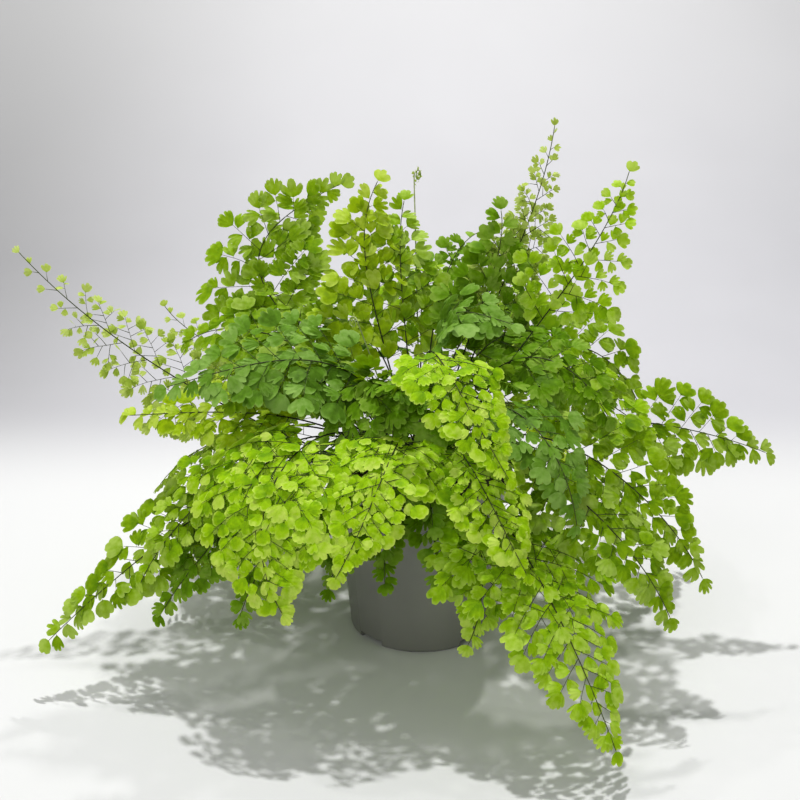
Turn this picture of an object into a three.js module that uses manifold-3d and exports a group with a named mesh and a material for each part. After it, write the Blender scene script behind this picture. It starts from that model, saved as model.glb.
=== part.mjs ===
// A maidenhair fern in a round nursery pot, as an assembly of separate solids.
// Sizes are in millimetres and angles in degrees. +Z is up, and the plant's front faces -Y.
// The origin is the middle of the pot's underside, on the surface that it stands on.
import * as THREE from "three";
import { mergeVertices } from "three/addons/utils/BufferGeometryUtils.js";
import Module from "manifold-3d";

const wasm = await Module();
wasm.setup();

// The clearance between pieces that touch, and how near two points are to be the same point.
const GAP = 0.3;
const SAME_POINT = 0.0005;

// Pot: a tapered plastic wall that steps out to a collar under its rim.
const POT_HEIGHT = 105;
const FOOT_RADIUS = 45;
const FOOT_EDGE = 2.5;
const WALL_TOP = { radius: 53, z: 92 };
const COLLAR_BOTTOM = { radius: 56.6, z: 93 };
const RIM_RADIUS = 58;
const RIM_ROUNDING = 0.8;
const WALL = 1.6;
const FLOOR_TOP = 6.5;
const POT_SIDES = 40;

// Drainage: four tall channels cross the foot, each with a hole above it, between four shallow slots.
const DRAINS = 4;
const CHANNEL = { width: 19, height: 4.5 };
const SLOT = { width: 11, height: 1.2 };
const CHANNEL_INNER_RADIUS = 24;
const DRAIN_RADIUS = 4;
const DRAIN_FROM_AXIS = 33;
const DRAIN_SIDES = 16;

// Potting soil, and the crown of matted rhizomes that the fronds grow from.
const SOIL_TOP = 96;
const CROWN = { radius: 34, height: 4.7, edge: 3, sides: 24, lumps: 5, lump_share: 0.06 };
const SEAT_Z = SOIL_TOP + GAP + CROWN.height + GAP;

// Fronds: one sweep, square along the stalk and thin and wide along the toothed blade.
const STALK_HALF = 0.8;
const BLADE_HALF_THICKNESS = 0.6;
const CORE_HALF = 0.5;
const CORE_INSET = 0.05;
const STALK_STEPS = 5;
const BLADE_STEPS = 12;
const BLADE_SHARE = 0.75;
const TOOTH_SHARE = 0.6;
const WIDEST_AT = 0.2;
const LEAN = 0.25;

// Croziers: young fronds that are still rolled up at the tip.
const CROZIER_HALF = 0.8;
const COIL_RADIUS = 5;
const COIL_TURNS = 1.25;
const COIL_CLOSING = 2.4;
const CROZIER_STEPS = 6;
const COIL_STEPS = 14;

const COLOURS = {
  bright: 0x9fc431,
  fresh: 0x84b52c,
  mid: 0x5f9a24,
  olive: 0x7a9c1f,
  blue: 0x5d9a4c,
  deep: 0x3f7a1c,
  young: 0xb4cf63,
  pot: 0x5f615a,
  soil: 0x33261c,
  crown: 0x2b1c12,
};

function frond(name, tone, ring, rise, over, tip, bare, half, turn) {
  return { name: `frond_${name}`, tone, ring, rise, over, tip, bare, half, turn };
}

// A frond leaves the crown at the radius ring, below its handle over. Its stalk rises towards the
// height rise, the frond bends over at over, and it ends at tip. The blade starts at the share bare
// of its length, its leaflets reach half to each side, and turn rolls it about its stalk.
const FRONDS = [
  frond("far_left", "young", 20, 115, [-172, -5, 161], [-238, -10, 248], 0.45, 42, 50),
  frond("left_young", "young", 13, 150, [-150, 60, 160], [-172, 70, 198], 0.45, 36, 40),
  frond("upper_left", "mid", 7, 195, [-176, 45, 222], [-42, 50, 280], 0.35, 50, 40),
  frond("upper_mid_left", "olive", 7, 190, [-55, 45, 240], [-22, 50, 286], 0.3, 44, 0),
  frond("upper_mid", "mid", 7, 190, [-20, 50, 240], [-8, 60, 273], 0.35, 38, 0),
  frond("upper_small", "deep", 7, 180, [10, 55, 244], [46, 65, 246], 0.5, 24, -40),
  frond("upper_right_dark", "deep", 7, 190, [60, 20, 235], [46, 25, 272], 0.35, 36, -60),
  frond("tall_young", "young", 13, 190, [75, 40, 245], [82, 45, 317], 0.35, 32, -60),
  frond("tall_right", "fresh", 13, 170, [108, -10, 235], [121, 0, 296], 0.48, 35, -70),
  frond("far_right", "mid", 20, 160, [160, -20, 146], [217, -20, 120], 0.57, 32, -62),
  frond("right_upper", "mid", 13, 195, [112, 10, 212], [136, -10, 142], 0.4, 38, -60),
  frond("right_lower", "mid", 20, 180, [132, -90, 134], [158, -98, 70], 0.4, 38, -35),
  frond("right_low_front", "mid", 27, 160, [118, -112, 112], [133, -128, 62], 0.4, 36, -20),
  frond("front_right_long", "fresh", 27, 150, [70, -150, 90], [95, -190, 24], 0.36, 58, 0),
  frond("front_low_right", "fresh", 27, 150, [47, -127, 94], [19, -143, 57], 0.45, 34, 0),
  frond("centre_bright_top", "bright", 7, 230, [-2, -85, 215], [45, -130, 145], 0.5, 34, 0),
  frond("centre_bright_right", "bright", 13, 180, [30, -130, 140], [53, -150, 102], 0.35, 40, 0),
  frond("centre_bright_left", "bright", 13, 190, [-20, -130, 140], [-48, -150, 100], 0.35, 42, 0),
  frond("left_bright", "bright", 20, 190, [-118, -125, 142], [-69, -150, 79], 0.4, 60, 10),
  frond("left_bright_side", "fresh", 20, 180, [-139, -80, 122], [-160, -95, 68], 0.4, 36, 30),
  frond("left_outer", "mid", 27, 160, [-170, -82, 80], [-219, -92, 30], 0.45, 34, 40),
  frond("left_hang_outer", "deep", 27, 160, [-130, -80, 90], [-150, -100, 50], 0.45, 30, 30),
  frond("left_hang_inner", "deep", 27, 160, [-95, -95, 90], [-102, -115, 56], 0.45, 28, 15),
  frond("left_hang_pot", "deep", 27, 160, [-50, -90, 90], [-53, -105, 68], 0.5, 24, 0),
  frond("mid_left_blue", "blue", 7, 215, [-95, -60, 190], [-150, -70, 178], 0.3, 44, 40),
  frond("left_olive", "olive", 20, 160, [-130, -45, 157], [-180, -35, 152], 0.4, 30, 40),
  frond("centre_blue", "blue", 7, 225, [10, -10, 215], [58, -35, 205], 0.35, 34, -25),
  frond("right_centre_blue", "blue", 13, 200, [78, -105, 172], [80, -120, 112], 0.45, 30, -10),
  frond("right_mid_dark", "deep", 13, 205, [85, -40, 205], [108, -60, 152], 0.4, 34, -35),
  frond("pot_front", "deep", 27, 140, [5, -90, 110], [9, -105, 68], 0.5, 18, 0),
  frond("pot_front_left", "deep", 27, 140, [-25, -80, 110], [-21, -98, 68], 0.5, 18, 0),
  frond("upper_left_low", "mid", 10, 180, [-115, 12, 215], [-150, 10, 180], 0.35, 40, 40),
  frond("upper_right_inner", "deep", 5, 185, [58, 8, 214], [96, 12, 176], 0.35, 38, -45),
  frond("right_inner", "fresh", 15, 180, [100, -20, 180], [140, -50, 135], 0.35, 38, -35),
  frond("centre_inner", "deep", 10, 190, [-15, -45, 200], [-18, -78, 140], 0.25, 36, 0),
  frond("centre_deep", "deep", 21, 160, [0, -75, 150], [5, -115, 110], 0.25, 36, 0),
  frond("left_inner", "mid", 15, 170, [-80, -20, 190], [-115, -50, 160], 0.28, 38, 35),
  frond("inner_front_left", "deep", 24, 185, [-26, -44, 205], [-52, -72, 122], 0.3, 44, 0),
  frond("inner_front_right", "deep", 24, 185, [18, -45, 205], [30, -85, 125], 0.3, 46, 0),
  frond("back_left_high", "mid", 10, 190, [-90, 75, 220], [-140, 115, 185], 0.35, 40, 0),
  frond("back_centre_high", "fresh", 5, 200, [0, 85, 230], [10, 130, 208], 0.35, 38, 0),
  frond("back_right_high", "mid", 5, 200, [60, 80, 228], [78, 125, 203], 0.35, 28, 0),
  frond("back_left_mid", "olive", 15, 170, [-120, 100, 165], [-175, 130, 110], 0.35, 42, 0),
  frond("back_mid_left", "blue", 15, 185, [-50, 125, 190], [-70, 170, 115], 0.35, 42, 0),
  frond("back_mid_right", "fresh", 15, 185, [45, 120, 190], [65, 170, 120], 0.35, 42, 0),
  frond("back_right_mid", "blue", 15, 170, [115, 95, 165], [145, 130, 105], 0.35, 34, 0),
  frond("back_left_low", "mid", 21, 150, [-105, 130, 120], [-140, 175, 45], 0.4, 42, 0),
  frond("back_centre_low", "mid", 21, 160, [-5, 145, 140], [-15, 190, 60], 0.4, 42, 0),
  frond("back_right_low", "olive", 21, 150, [90, 135, 120], [120, 180, 40], 0.4, 42, 0),
  frond("right_back_low", "mid", 21, 150, [146, 50, 122], [184, 70, 78], 0.4, 40, 0),
  frond("left_back_low", "mid", 21, 150, [-150, 45, 120], [-185, 70, 60], 0.4, 34, 0),
  frond("left_side_low", "deep", 27, 135, [-120, 10, 90], [-165, 0, 35], 0.45, 34, 0),
  frond("back_left_deep", "deep", 27, 140, [-70, 80, 95], [-90, 110, 45], 0.45, 30, 0),
  frond("back_right_deep", "deep", 27, 140, [65, 85, 95], [90, 115, 45], 0.45, 30, 0),
];

// A crozier stands on the crown at seat, and its coil is at top.
const CROZIERS = [
  { name: "crozier_back", seat: [0, 10], top: [-4, 70, 283] },
  { name: "crozier_left", seat: [-8, -2], top: [-38, -8, 205] },
  { name: "crozier_right", seat: [9, 2], top: [40, 20, 190] },
];

const UP = new THREE.Vector3(0, 0, 1);

// Solids

function toSolid(geometry) {
  const bare = geometry.clone();
  bare.deleteAttribute("normal");
  bare.deleteAttribute("uv");
  const merged = mergeVertices(bare, SAME_POINT);
  const corners = merged.index.array;
  const kept = [];
  for (let i = 0; i < corners.length; i += 3) {
    const [a, b, c] = [corners[i], corners[i + 1], corners[i + 2]];
    if (a !== b && b !== c && c !== a) kept.push(a, b, c);
  }
  const mesh = new wasm.Mesh({
    numProp: 3,
    vertProperties: new Float32Array(merged.attributes.position.array),
    triVerts: new Uint32Array(kept),
  });
  return new wasm.Manifold(mesh);
}

function toGeometry(solid) {
  const { numProp, vertProperties, triVerts } = solid.getMesh();
  const geometry = new THREE.BufferGeometry();
  const points = [];
  for (let i = 0; i < vertProperties.length; i += numProp) {
    points.push(vertProperties[i], vertProperties[i + 1], vertProperties[i + 2]);
  }
  geometry.setAttribute("position", new THREE.Float32BufferAttribute(points, 3));
  geometry.setIndex([...triVerts]);
  return geometry;
}

function largestBody(solid) {
  return solid.decompose().reduce((best, body) => (body.volume() > best.volume() ? body : best));
}

// A lathe about +Z from [radius, height] pairs that run up the outside and back down the inside.
function turned(profile, sides) {
  const points = profile.map(([radius, z]) => new THREE.Vector2(radius, z));
  return new THREE.LatheGeometry(points, sides).rotateX(Math.PI / 2);
}

function makeMesh(name, geometry, colour, roughness) {
  const material = new THREE.MeshStandardMaterial({ color: colour, roughness, metalness: 0 });
  const mesh = new THREE.Mesh(geometry, material);
  mesh.name = name;
  return mesh;
}

// Pot, soil and crown

// The pot's inside, from the middle of its floor to its rim, with everything moved in by inset.
function potInside(inset, top) {
  const wallFoot = FOOT_RADIUS - WALL;
  const ledge = { radius: COLLAR_BOTTOM.radius - WALL, z: COLLAR_BOTTOM.z + WALL };
  const rise = (top - ledge.z) / (POT_HEIGHT - RIM_ROUNDING - ledge.z);
  const topRadius = THREE.MathUtils.lerp(ledge.radius, RIM_RADIUS - WALL, rise);
  return [
    [0, FLOOR_TOP + inset],
    [wallFoot - FOOT_EDGE - inset, FLOOR_TOP + inset],
    [wallFoot - inset, FLOOR_TOP + FOOT_EDGE],
    [WALL_TOP.radius - WALL - inset, WALL_TOP.z],
    [ledge.radius - inset, ledge.z],
    [topRadius - inset, top],
  ];
}

function footCut({ width, height }, angle) {
  const length = FOOT_RADIUS - CHANNEL_INNER_RADIUS + WALL;
  const box = new THREE.BoxGeometry(length, width, 2 * height);
  box.translate(CHANNEL_INNER_RADIUS + length / 2, 0, 0);
  return toSolid(box.rotateZ(angle));
}

function drainHole(angle) {
  const hole = new THREE.CylinderGeometry(DRAIN_RADIUS, DRAIN_RADIUS, FLOOR_TOP, DRAIN_SIDES);
  hole.rotateX(Math.PI / 2);
  hole.translate(DRAIN_FROM_AXIS, 0, CHANNEL.height + FLOOR_TOP / 2 - GAP);
  return toSolid(hole.rotateZ(angle));
}

function nurseryPot() {
  const edge = FOOT_EDGE * (1 - Math.SQRT1_2);
  const outside = [
    [0, 0],
    [FOOT_RADIUS - FOOT_EDGE, 0],
    [FOOT_RADIUS - edge, edge],
    [FOOT_RADIUS, FOOT_EDGE],
    [WALL_TOP.radius, WALL_TOP.z],
    [COLLAR_BOTTOM.radius, COLLAR_BOTTOM.z],
    [RIM_RADIUS, POT_HEIGHT - RIM_ROUNDING],
    [RIM_RADIUS - RIM_ROUNDING, POT_HEIGHT],
  ];
  const inside = potInside(0, POT_HEIGHT - RIM_ROUNDING).reverse();
  let pot = toSolid(turned([...outside, ...inside], POT_SIDES));
  for (let i = 0; i < DRAINS; i++) {
    const slotAngle = (2 * Math.PI * i) / DRAINS;
    const channelAngle = slotAngle + Math.PI / DRAINS;
    pot = pot.subtract(footCut(SLOT, slotAngle));
    pot = pot.subtract(footCut(CHANNEL, channelAngle));
    pot = pot.subtract(drainHole(channelAngle));
  }
  return makeMesh("nursery_pot", toGeometry(pot), COLOURS.pot, 0.55);
}

function pottingSoil() {
  const profile = [...potInside(GAP, SOIL_TOP), [0, SOIL_TOP]];
  return makeMesh("potting_soil", turned(profile, POT_SIDES), COLOURS.soil, 0.95);
}

function rootCrown() {
  const bottom = SOIL_TOP + GAP;
  const top = bottom + CROWN.height;
  const profile = [
    [0, bottom],
    [CROWN.radius, bottom],
    [CROWN.radius, (bottom + top) / 2],
    [CROWN.radius - CROWN.edge, top],
    [0, top],
  ];
  const geometry = turned(profile, CROWN.sides);
  const points = geometry.attributes.position;
  for (let i = 0; i < points.count; i++) {
    const angle = Math.atan2(points.getY(i), points.getX(i));
    const share = 1 + CROWN.lump_share * Math.sin(CROWN.lumps * angle);
    points.setXY(i, points.getX(i) * share, points.getY(i) * share);
  }
  return makeMesh("root_crown", geometry, COLOURS.crown, 0.9);
}

// Fronds

// A closed solid through rings { centre, along, side, halfWidth, halfThickness } of four corners.
function swept(rings) {
  const points = [];
  const faces = [];
  for (const { centre, along, side, halfWidth, halfThickness } of rings) {
    const face = new THREE.Vector3().crossVectors(side, along);
    for (const [across, out] of [[1, 1], [-1, 1], [-1, -1], [1, -1]]) {
      const corner = centre.clone();
      corner.addScaledVector(side, across * halfWidth);
      corner.addScaledVector(face, out * halfThickness);
      points.push(corner.x, corner.y, corner.z);
    }
  }
  for (let ring = 0; ring + 1 < rings.length; ring++) {
    for (let k = 0; k < 4; k++) {
      const [a, b] = [4 * ring + k, 4 * ring + ((k + 1) % 4)];
      faces.push(a, a + 4, b + 4, a, b + 4, b);
    }
  }
  const last = 4 * (rings.length - 1);
  faces.push(0, 1, 2, 0, 2, 3, last, last + 2, last + 1, last, last + 3, last + 2);
  const geometry = new THREE.BufferGeometry();
  geometry.setAttribute("position", new THREE.Float32BufferAttribute(points, 3));
  geometry.setIndex(faces);
  return geometry;
}

function stalkCurve({ ring, rise, over, tip }) {
  const bend = new THREE.Vector3(...over);
  const seat = new THREE.Vector3(bend.x, bend.y, 0).setLength(ring).setZ(SEAT_Z);
  const lift = seat.clone().lerp(bend, LEAN).setZ(rise);
  return new THREE.CubicBezierCurve3(seat, lift, bend, new THREE.Vector3(...tip));
}

// How far the blade reaches at the share s of its own length: widest near its base, then to a point.
function bladeReach(s) {
  return s < WIDEST_AT ? 0.4 + (0.6 * s) / WIDEST_AT : (1 - s) / (1 - WIDEST_AT);
}

// The shares of the stalk's length at which a frond has a ring, and the blade's half width there.
function ringPlan({ bare, half }) {
  const plan = [];
  for (let i = 0; i < STALK_STEPS; i++) {
    plan.push({ t: (bare * i) / STALK_STEPS, reach: 0 });
  }
  for (let i = 0; i <= BLADE_STEPS; i++) {
    const s = i / BLADE_STEPS;
    const tooth = i % 2 ? 1 : TOOTH_SHARE;
    plan.push({ t: bare + (1 - bare) * s, reach: half * BLADE_SHARE * bladeReach(s) * tooth });
  }
  return plan;
}

function frondRings(plant, sizeOf) {
  const curve = stalkCurve(plant);
  const outward = curve.v3.clone().sub(curve.v0).setZ(0).normalize();
  const level = new THREE.Vector3().crossVectors(outward, UP);
  const turn = THREE.MathUtils.degToRad(plant.turn);
  return ringPlan(plant).map(({ t, reach }) => {
    const along = t === 0 ? UP.clone() : curve.getTangent(t);
    const side = level.clone().addScaledVector(along, -level.dot(along)).normalize();
    side.applyAxisAngle(along, -turn);
    return { centre: curve.getPoint(t), along, side, ...sizeOf(reach) };
  });
}

function fullSize(reach, extra = 0) {
  if (reach === 0) return { halfWidth: STALK_HALF + extra, halfThickness: STALK_HALF + extra };
  const halfWidth = Math.max(reach, STALK_HALF) + extra;
  return { halfWidth, halfThickness: BLADE_HALF_THICKNESS + extra };
}

function coreSize(reach, extra = 0) {
  const half = (reach === 0 ? STALK_HALF - CORE_INSET : CORE_HALF) + extra;
  return { halfWidth: half, halfThickness: half };
}

function sweptFrond(plant, sizeOf) {
  return toSolid(swept(frondRings(plant, sizeOf)));
}

function boxesMeet(a, b) {
  const [p, q] = [a.boundingBox(), b.boundingBox()];
  return [0, 1, 2].every((k) => p.min[k] <= q.max[k] && q.min[k] <= p.max[k]);
}

// Where fronds cross, a blade is cut to pass around every other stalk and the blades made before it.
// A frond's own stalk is never cut, so each frond stays one piece.
function fronds() {
  const shapes = FRONDS.map((plant) => ({
    plant,
    full: sweptFrond(plant, (reach) => fullSize(reach)),
    core: sweptFrond(plant, (reach) => coreSize(reach)),
    fullWide: sweptFrond(plant, (reach) => fullSize(reach, GAP)),
    coreWide: sweptFrond(plant, (reach) => coreSize(reach, GAP)),
  }));
  const others = CROZIERS.map((young) => toSolid(swept(crozierRings(young, CROZIER_HALF + GAP))));
  return shapes.map((shape, i) => {
    const blockers = [...others];
    shapes.forEach((other, j) => {
      if (j < i) blockers.push(other.fullWide);
      if (j > i) blockers.push(other.coreWide);
    });
    let blade = shape.full;
    for (const blocker of blockers) {
      if (boxesMeet(blade, blocker)) blade = blade.subtract(blocker);
    }
    const whole = largestBody(blade.add(shape.core));
    return makeMesh(shape.plant.name, toGeometry(whole), COLOURS[shape.plant.tone], 0.6);
  });
}

// Croziers

function crozierRings({ seat, top }, half) {
  const foot = new THREE.Vector3(seat[0], seat[1], SEAT_Z);
  const coil = new THREE.Vector3(...top);
  const neck = coil.clone().setZ(coil.z - COIL_RADIUS);
  const outward = coil.clone().sub(foot).setZ(0).normalize();
  const straight = foot.clone().lerp(neck, 0.5).setZ((foot.z + neck.z) / 2);
  const stem = new THREE.QuadraticBezierCurve3(foot, straight, neck);
  const side = new THREE.Vector3().crossVectors(outward, UP);
  const rings = [];
  for (let i = 0; i < CROZIER_STEPS; i++) {
    const t = i / CROZIER_STEPS;
    const along = i === 0 ? UP.clone() : stem.getTangent(t);
    rings.push({ centre: stem.getPoint(t), along, side, halfWidth: half, halfThickness: half });
  }
  for (let i = 0; i <= COIL_STEPS; i++) {
    const share = i / COIL_STEPS;
    const angle = 2 * Math.PI * COIL_TURNS * share;
    const radius = COIL_RADIUS - COIL_CLOSING * share;
    const centre = neck.clone();
    centre.addScaledVector(outward, COIL_RADIUS - radius * Math.cos(angle));
    centre.addScaledVector(UP, radius * Math.sin(angle));
    const along = new THREE.Vector3();
    along.addScaledVector(outward, Math.sin(angle));
    along.addScaledVector(UP, Math.cos(angle));
    rings.push({ centre, along, side, halfWidth: half, halfThickness: half });
  }
  return rings;
}

function croziers() {
  return CROZIERS.map((young) => {
    const geometry = swept(crozierRings(young, CROZIER_HALF));
    return makeMesh(young.name, geometry, COLOURS.young, 0.6);
  });
}

const group = new THREE.Group();
group.add(nurseryPot());
group.add(pottingSoil());
group.add(rootCrown());
group.add(...fronds());
group.add(...croziers());

export default group;
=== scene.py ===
import math
from collections import namedtuple

import bmesh
import bpy
import numpy as np
from mathutils import Matrix, Quaternion, Vector


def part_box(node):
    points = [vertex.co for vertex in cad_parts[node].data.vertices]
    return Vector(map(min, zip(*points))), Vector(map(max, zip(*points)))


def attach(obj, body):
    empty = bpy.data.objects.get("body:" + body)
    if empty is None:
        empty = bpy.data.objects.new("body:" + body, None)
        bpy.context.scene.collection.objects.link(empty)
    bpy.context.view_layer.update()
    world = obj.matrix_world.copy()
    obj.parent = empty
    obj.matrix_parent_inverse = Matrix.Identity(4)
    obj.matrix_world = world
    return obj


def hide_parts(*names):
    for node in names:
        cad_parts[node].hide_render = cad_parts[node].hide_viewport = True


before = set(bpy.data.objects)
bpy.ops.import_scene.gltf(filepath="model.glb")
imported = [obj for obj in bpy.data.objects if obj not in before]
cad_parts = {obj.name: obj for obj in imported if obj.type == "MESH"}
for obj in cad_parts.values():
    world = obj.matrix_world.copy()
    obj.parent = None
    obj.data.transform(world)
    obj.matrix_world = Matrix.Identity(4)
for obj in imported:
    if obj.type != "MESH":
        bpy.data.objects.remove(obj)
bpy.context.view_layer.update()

MM = 0.001
SEED = 20
CROZIER_SEED = 110
DOWN = np.array((0.0, 0.0, -1.0))

# Camera: where it stands, how far it looks down, and its lens, from the photograph's perspective.
CAMERA_PLACE = (-0.013, -0.646, 0.358)
CAMERA_PITCH = 17.8
CAMERA_LENS_MM = 49.5
SENSOR_WIDTH_MM = 36

# Radii of a stalk at its foot and its tip, of a branchlet, and of a leaflet's own hair-thin stalk
STALK_RADIUS = 0.00065
STALK_TIP_RADIUS = 0.00022
BRANCHLET_RADIUS = 0.0002
HAIR_RADIUS = 0.0001


def frond(name, tone, ring, rise, over, tip, bare, half, turn, leaflet):
    """One frond, from lengths and places in millimetres.

    ring is how far from the axis it is seated, and rise the height of its curve's first handle. The
    curve is drawn towards over and ends at tip, and bare is its first part, without leaves. half is
    half the blade's width, turn how far it turns about the stalk, and leaflet a leaflet's length.
    """
    return {
        "name": f"frond_{name}",
        "tone": tone,
        "ring": ring * MM,
        "rise": rise * MM,
        "over": np.array(over) * MM,
        "tip": np.array(tip) * MM,
        "bare": bare,
        "half": half * MM,
        "turn": math.radians(turn),
        "leaflet": leaflet * MM,
    }


# As in part.mjs, which has no leaflets of its own
# The tone deep is painted shade: a darker green for fronds inside and under the crown.
FRONDS = [
    frond("far_left", "young", 20, 115, [-172, -5, 161], [-238, -10, 248], 0.45, 42, 50, 7.6),
    frond("left_young", "young", 13, 150, [-150, 60, 160], [-172, 70, 198], 0.45, 36, 40, 7.4),
    frond("upper_left", "mid", 7, 195, [-176, 45, 222], [-42, 50, 280], 0.35, 50, 40, 13.5),
    frond("upper_mid_left", "olive", 7, 190, [-55, 45, 240], [-22, 50, 286], 0.3, 44, 0, 13.5),
    frond("upper_mid", "mid", 7, 190, [-20, 50, 240], [-8, 60, 273], 0.35, 38, 0, 12.8),
    frond("upper_small", "deep", 7, 180, [10, 55, 244], [46, 65, 246], 0.5, 24, -40, 12.3),
    frond("upper_right_dark", "deep", 7, 190, [60, 20, 235], [46, 25, 272], 0.35, 36, -60, 12.8),
    frond("tall_young", "young", 13, 190, [75, 40, 245], [82, 45, 317], 0.35, 32, -60, 7.3),
    frond("tall_right", "fresh", 13, 170, [108, -10, 235], [121, 0, 296], 0.48, 35, -70, 10.1),
    frond("far_right", "mid", 20, 160, [160, -20, 146], [217, -20, 120], 0.57, 32, -62, 13.1),
    frond("right_upper", "mid", 13, 195, [112, 10, 212], [136, -10, 142], 0.4, 38, -60, 12.3),
    frond("right_lower", "mid", 20, 180, [132, -90, 134], [158, -98, 70], 0.4, 38, -35, 12.9),
    frond("right_low_front", "mid", 27, 160, [118, -112, 112], [133, -128, 62], 0.4, 36, -20, 12.1),
    frond("front_right_long", "fresh", 27, 150, [70, -150, 90], [95, -190, 24], 0.36, 58, 0, 10.8),
    frond("front_low_right", "fresh", 27, 150, [47, -127, 94], [19, -143, 57], 0.45, 34, 0, 10),
    frond("centre_bright_top", "bright", 7, 230, [-2, -85, 215], [45, -130, 145], 0.5, 34, 0, 8.8),
    frond("centre_bright_right", "bright", 13, 180, [30, -130, 140], [53, -150, 102], 0.35, 40, 0, 8.8),
    frond("centre_bright_left", "bright", 13, 190, [-20, -130, 140], [-48, -150, 100], 0.35, 42, 0, 8.8),
    frond("left_bright", "bright", 20, 190, [-118, -125, 142], [-69, -150, 79], 0.4, 60, 10, 10.2),
    frond("left_bright_side", "fresh", 20, 180, [-139, -80, 122], [-160, -95, 68], 0.4, 36, 30, 10),
    frond("left_outer", "mid", 27, 160, [-170, -82, 80], [-219, -92, 30], 0.45, 34, 40, 12.3),
    frond("left_hang_outer", "deep", 27, 160, [-130, -80, 90], [-150, -100, 50], 0.45, 30, 30, 11.1),
    frond("left_hang_inner", "deep", 27, 160, [-95, -95, 90], [-102, -115, 56], 0.45, 28, 15, 11.1),
    frond("left_hang_pot", "deep", 27, 160, [-50, -90, 90], [-53, -105, 68], 0.5, 24, 0, 11.1),
    frond("mid_left_blue", "blue", 7, 215, [-95, -60, 190], [-150, -70, 178], 0.3, 44, 40, 13.5),
    frond("left_olive", "olive", 20, 160, [-130, -45, 157], [-180, -35, 152], 0.4, 30, 40, 12.3),
    frond("centre_blue", "blue", 7, 225, [10, -10, 215], [58, -35, 205], 0.35, 34, -25, 12.8),
    frond("right_centre_blue", "blue", 13, 200, [78, -105, 172], [80, -120, 112], 0.45, 30, -10, 11.7),
    frond("right_mid_dark", "deep", 13, 205, [85, -40, 205], [108, -60, 152], 0.4, 34, -35, 12.3),
    frond("pot_front", "deep", 27, 140, [5, -90, 110], [9, -105, 68], 0.5, 18, 0, 10.5),
    frond("pot_front_left", "deep", 27, 140, [-25, -80, 110], [-21, -98, 68], 0.5, 18, 0, 10.5),
    frond("upper_left_low", "mid", 10, 180, [-115, 12, 215], [-150, 10, 180], 0.35, 40, 40, 13.5),
    frond("upper_right_inner", "deep", 5, 185, [58, 8, 214], [96, 12, 176], 0.35, 38, -45, 12.8),
    frond("right_inner", "fresh", 15, 180, [100, -20, 180], [140, -50, 135], 0.35, 38, -35, 11.7),
    frond("centre_inner", "deep", 10, 190, [-15, -45, 200], [-18, -78, 140], 0.25, 36, 0, 12.3),
    frond("centre_deep", "deep", 21, 160, [0, -75, 150], [5, -115, 110], 0.25, 36, 0, 11.7),
    frond("left_inner", "mid", 15, 170, [-80, -20, 190], [-115, -50, 160], 0.28, 38, 35, 13.5),
    frond("inner_front_left", "deep", 24, 185, [-26, -44, 205], [-52, -72, 122], 0.3, 44, 0, 12.6),
    frond("inner_front_right", "deep", 24, 185, [18, -45, 205], [30, -85, 125], 0.3, 46, 0, 12.3),
    frond("back_left_high", "mid", 10, 190, [-90, 75, 220], [-140, 115, 185], 0.35, 40, 0, 13.5),
    frond("back_centre_high", "fresh", 5, 200, [0, 85, 230], [10, 130, 208], 0.35, 38, 0, 13.5),
    frond("back_right_high", "mid", 5, 200, [60, 80, 228], [78, 125, 203], 0.35, 28, 0, 13.5),
    frond("back_left_mid", "olive", 15, 170, [-120, 100, 165], [-175, 130, 110], 0.35, 42, 0, 13.5),
    frond("back_mid_left", "blue", 15, 185, [-50, 125, 190], [-70, 170, 115], 0.35, 42, 0, 13.5),
    frond("back_mid_right", "fresh", 15, 185, [45, 120, 190], [65, 170, 120], 0.35, 42, 0, 13.5),
    frond("back_right_mid", "blue", 15, 170, [115, 95, 165], [145, 130, 105], 0.35, 34, 0, 13.5),
    frond("back_left_low", "mid", 21, 150, [-105, 130, 120], [-140, 175, 45], 0.4, 42, 0, 13.5),
    frond("back_centre_low", "mid", 21, 160, [-5, 145, 140], [-15, 190, 60], 0.4, 42, 0, 13.5),
    frond("back_right_low", "olive", 21, 150, [90, 135, 120], [120, 180, 40], 0.4, 42, 0, 13.5),
    frond("right_back_low", "mid", 21, 150, [146, 50, 122], [184, 70, 78], 0.4, 40, 0, 13.5),
    frond("left_back_low", "mid", 21, 150, [-150, 45, 120], [-185, 70, 60], 0.4, 34, 0, 13.5),
    frond("left_side_low", "deep", 27, 135, [-120, 10, 90], [-165, 0, 35], 0.45, 34, 0, 13.5),
    frond("back_left_deep", "deep", 27, 140, [-70, 80, 95], [-90, 110, 45], 0.45, 30, 0, 13.5),
    frond("back_right_deep", "deep", 27, 140, [65, 85, 95], [90, 115, 45], 0.45, 30, 0, 13.5),
]


# How a kind of frond grows. gap and pitch are the spaces between side branches and between their
# leaflets, in leaflet lengths. angle is how far side branches lean out. hang, stray and tilt are
# how far leaflets hang, stray and turn away from the plant, notch is how deep their notches are, and
# spread is how wide they open. fork is a branchlet's length, as a share of what is left of its side
# branch, foot is how many pitches of that are bare, and cover is the chance of a leaflet over the
# stalk beside it.
Growth = namedtuple("Growth", "gap pitch angle hang stray tilt notch spread fork foot cover")

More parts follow.
